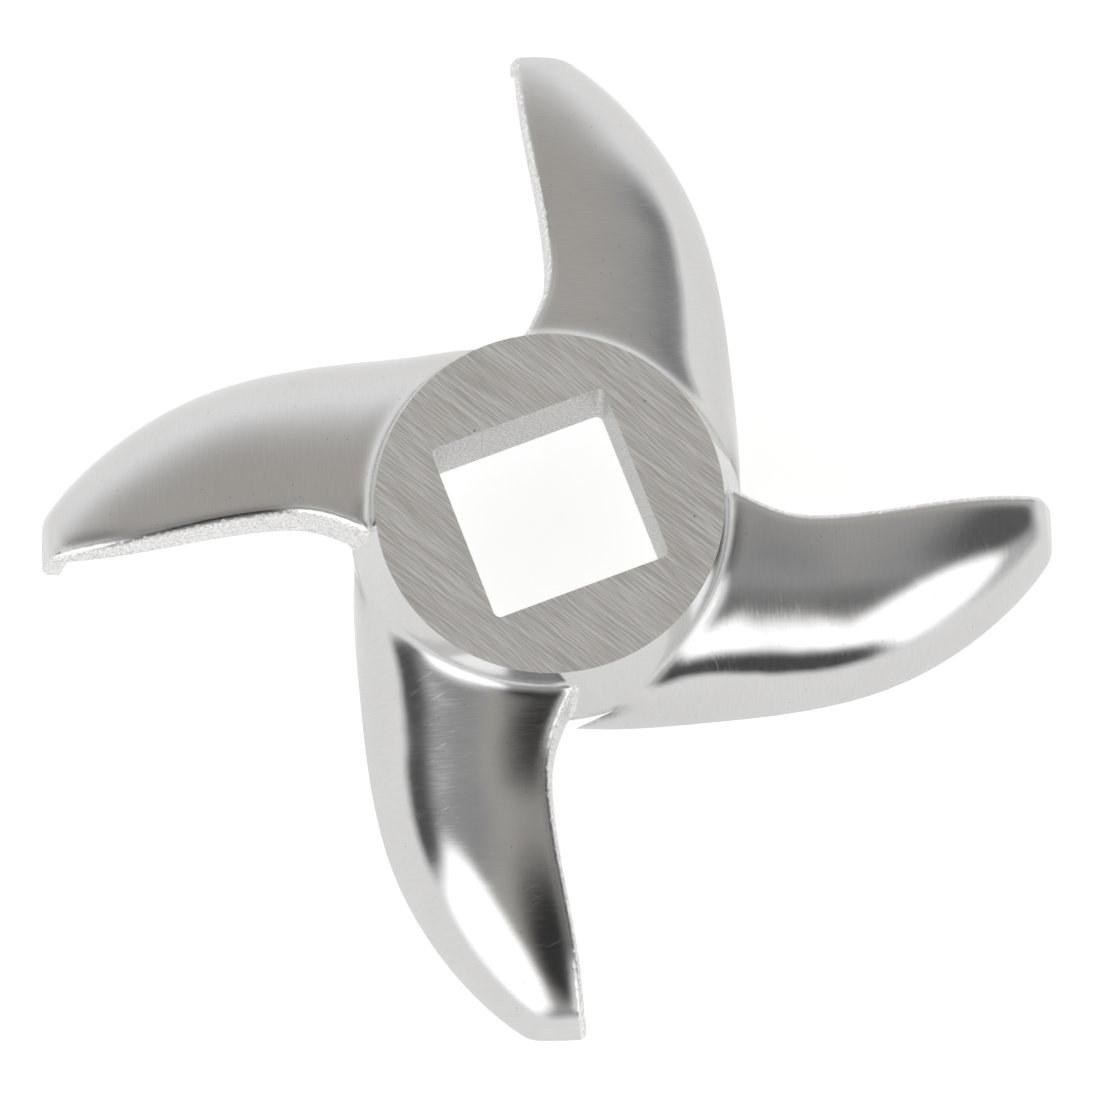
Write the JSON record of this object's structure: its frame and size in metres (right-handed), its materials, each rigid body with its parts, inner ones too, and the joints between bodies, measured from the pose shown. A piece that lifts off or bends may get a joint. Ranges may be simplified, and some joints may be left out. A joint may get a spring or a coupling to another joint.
{
  "type": "meat grinder knife",
  "caption": "Cast steel knife for a meat grinder, with curved crowned arms round a hub that has a square drive hole.",
  "frame": {"origin": "on the drive axis, in the plane of the cutting lands", "axes": "+Z along the drive axis from the cutting lands to the hub face, X and Y square to the flats of the drive hole"},
  "size_m": [0.0694, 0.0694, 0.011],
  "materials": {
    "polished_steel": "cast stainless steel, arms polished bright, hub face and cutting lands ground, hollow sides left as cast"
  },
  "bodies": {
    "root": {"knife": "polished_steel"}
  },
  "joints": []
}
